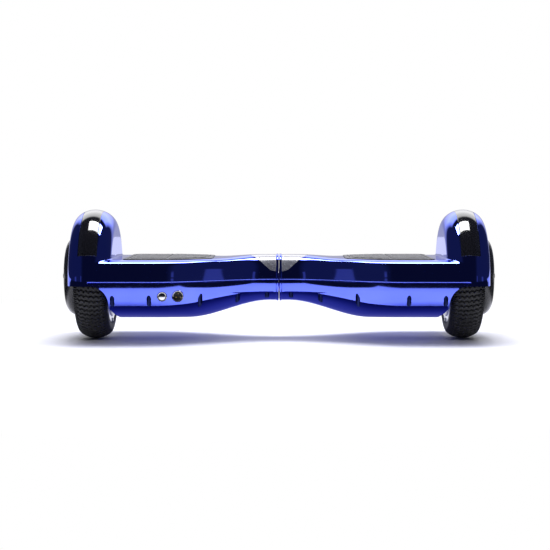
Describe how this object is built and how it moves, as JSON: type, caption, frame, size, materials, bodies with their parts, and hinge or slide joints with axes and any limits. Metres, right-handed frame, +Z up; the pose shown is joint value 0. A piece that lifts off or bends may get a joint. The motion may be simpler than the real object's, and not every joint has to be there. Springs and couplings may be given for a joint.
{
  "type": "self balancing hoverboard",
  "caption": "Blue chrome self-balancing hoverboard: hinged halves with a waist, foot pads, hub motor wheels under fenders, charging socket and power button.",
  "frame": {"origin": "on the floor, midway between the wheels", "axes": "+X along the board through both wheel axles, +Y away from the charging socket side, +Z up"},
  "size_m": [0.584, 0.186, 0.1735],
  "materials": {
    "blue_plating": "blue chrome plating over a plastic shell",
    "cast_aluminium": "cast, satin",
    "smoked_plastic": "gloss black",
    "lens": "smoked, semi-clear",
    "circuit_board": "solder mask",
    "steel": "zinc plated",
    "windings": "enamelled copper wire on laminations",
    "tyre": "solid rubber with transverse lugs",
    "magnet": "nickel plated",
    "black_plastic": "fine texture",
    "pad_rubber": "ribbed, matte",
    "battery_cells": "blue shrink wrap over cells",
    "chrome_ring": "polished",
    "button_metal": "brushed",
    "bronze": "sintered bronze"
  },
  "bodies": {
    "left_half": {"left_upper_shell": "blue_plating", "left_lower_shell": "blue_plating", "left_chassis": "cast_aluminium", "left_fender_strip": "smoked_plastic", "left_indicator_lens": "lens", "left_indicator_board": "circuit_board", "left_sensor_board": "circuit_board", "left_axle_clamp": "cast_aluminium", "left_clamp_bolts": "steel", "left_shell_screws": "steel", "left_motor_axle": "steel", "left_stator": "windings", "left_headlamp": "lens", "battery_pack": "battery_cells", "battery_bracket": "steel", "charge_socket": "chrome_ring", "charge_contacts": "black_plastic", "socket_nut": "steel", "switch_body": "chrome_ring", "pivot_tube": "steel", "pivot_pin": "steel", "pivot_circlip": "steel"},
    "left_wheel": {"left_tyre": "tyre", "left_rotor": "cast_aluminium", "left_magnets": "magnet", "left_motor_cover": "cast_aluminium", "left_inner_bearing": "steel", "left_outer_bearing": "steel", "left_hub_cap": "black_plastic", "left_cover_screws": "steel"},
    "left_pad": {"left_footpad": "pad_rubber", "left_pad_actuators": "black_plastic"},
    "button": {"power_button": "button_metal"},
    "right_half": {"right_upper_shell": "blue_plating", "right_lower_shell": "blue_plating", "right_chassis": "cast_aluminium", "right_fender_strip": "smoked_plastic", "right_indicator_lens": "lens", "right_indicator_board": "circuit_board", "right_sensor_board": "circuit_board", "right_axle_clamp": "cast_aluminium", "right_clamp_bolts": "steel", "right_shell_screws": "steel", "right_motor_axle": "steel", "right_stator": "windings", "right_headlamp": "lens", "main_board": "circuit_board", "board_heatsink": "cast_aluminium", "pivot_bushings": "bronze"},
    "right_wheel": {"right_tyre": "tyre", "right_rotor": "cast_aluminium", "right_magnets": "magnet", "right_motor_cover": "cast_aluminium", "right_inner_bearing": "steel", "right_outer_bearing": "steel", "right_hub_cap": "black_plastic", "right_cover_screws": "steel"},
    "right_pad": {"right_footpad": "pad_rubber", "right_pad_actuators": "black_plastic"}
  },
  "joints": [
    {"name": "centre_pivot", "type": "hinge", "parent": "left_half", "child": "right_half", "pos_m": [0, 0, 0.0805], "axis": [1, 0, 0], "range_deg": [-14, 14]},
    {"name": "left_wheel_spin", "type": "hinge", "parent": "left_half", "child": "left_wheel", "pos_m": [-0.247, 0, 0.084], "axis": [1, 0, 0], "continuous": true},
    {"name": "right_wheel_spin", "type": "hinge", "parent": "right_half", "child": "right_wheel", "pos_m": [0.247, 0, 0.084], "axis": [1, 0, 0], "continuous": true},
    {"name": "left_pad_press", "type": "slide", "parent": "left_half", "child": "left_pad", "axis": [0, 0, -1], "range_m": [0, 0.0015], "stiffness_N_per_m": 20000, "springref_m": -0.0005},
    {"name": "right_pad_press", "type": "slide", "parent": "right_half", "child": "right_pad", "axis": [0, 0, -1], "range_m": [0, 0.0015], "stiffness_N_per_m": 20000, "springref_m": -0.0005},
    {"name": "power_button_press", "type": "slide", "parent": "left_half", "child": "button", "axis": [0, 1, 0], "range_m": [0, 0.0015], "stiffness_N_per_m": 1500, "springref_m": -0.0005}
  ]
}
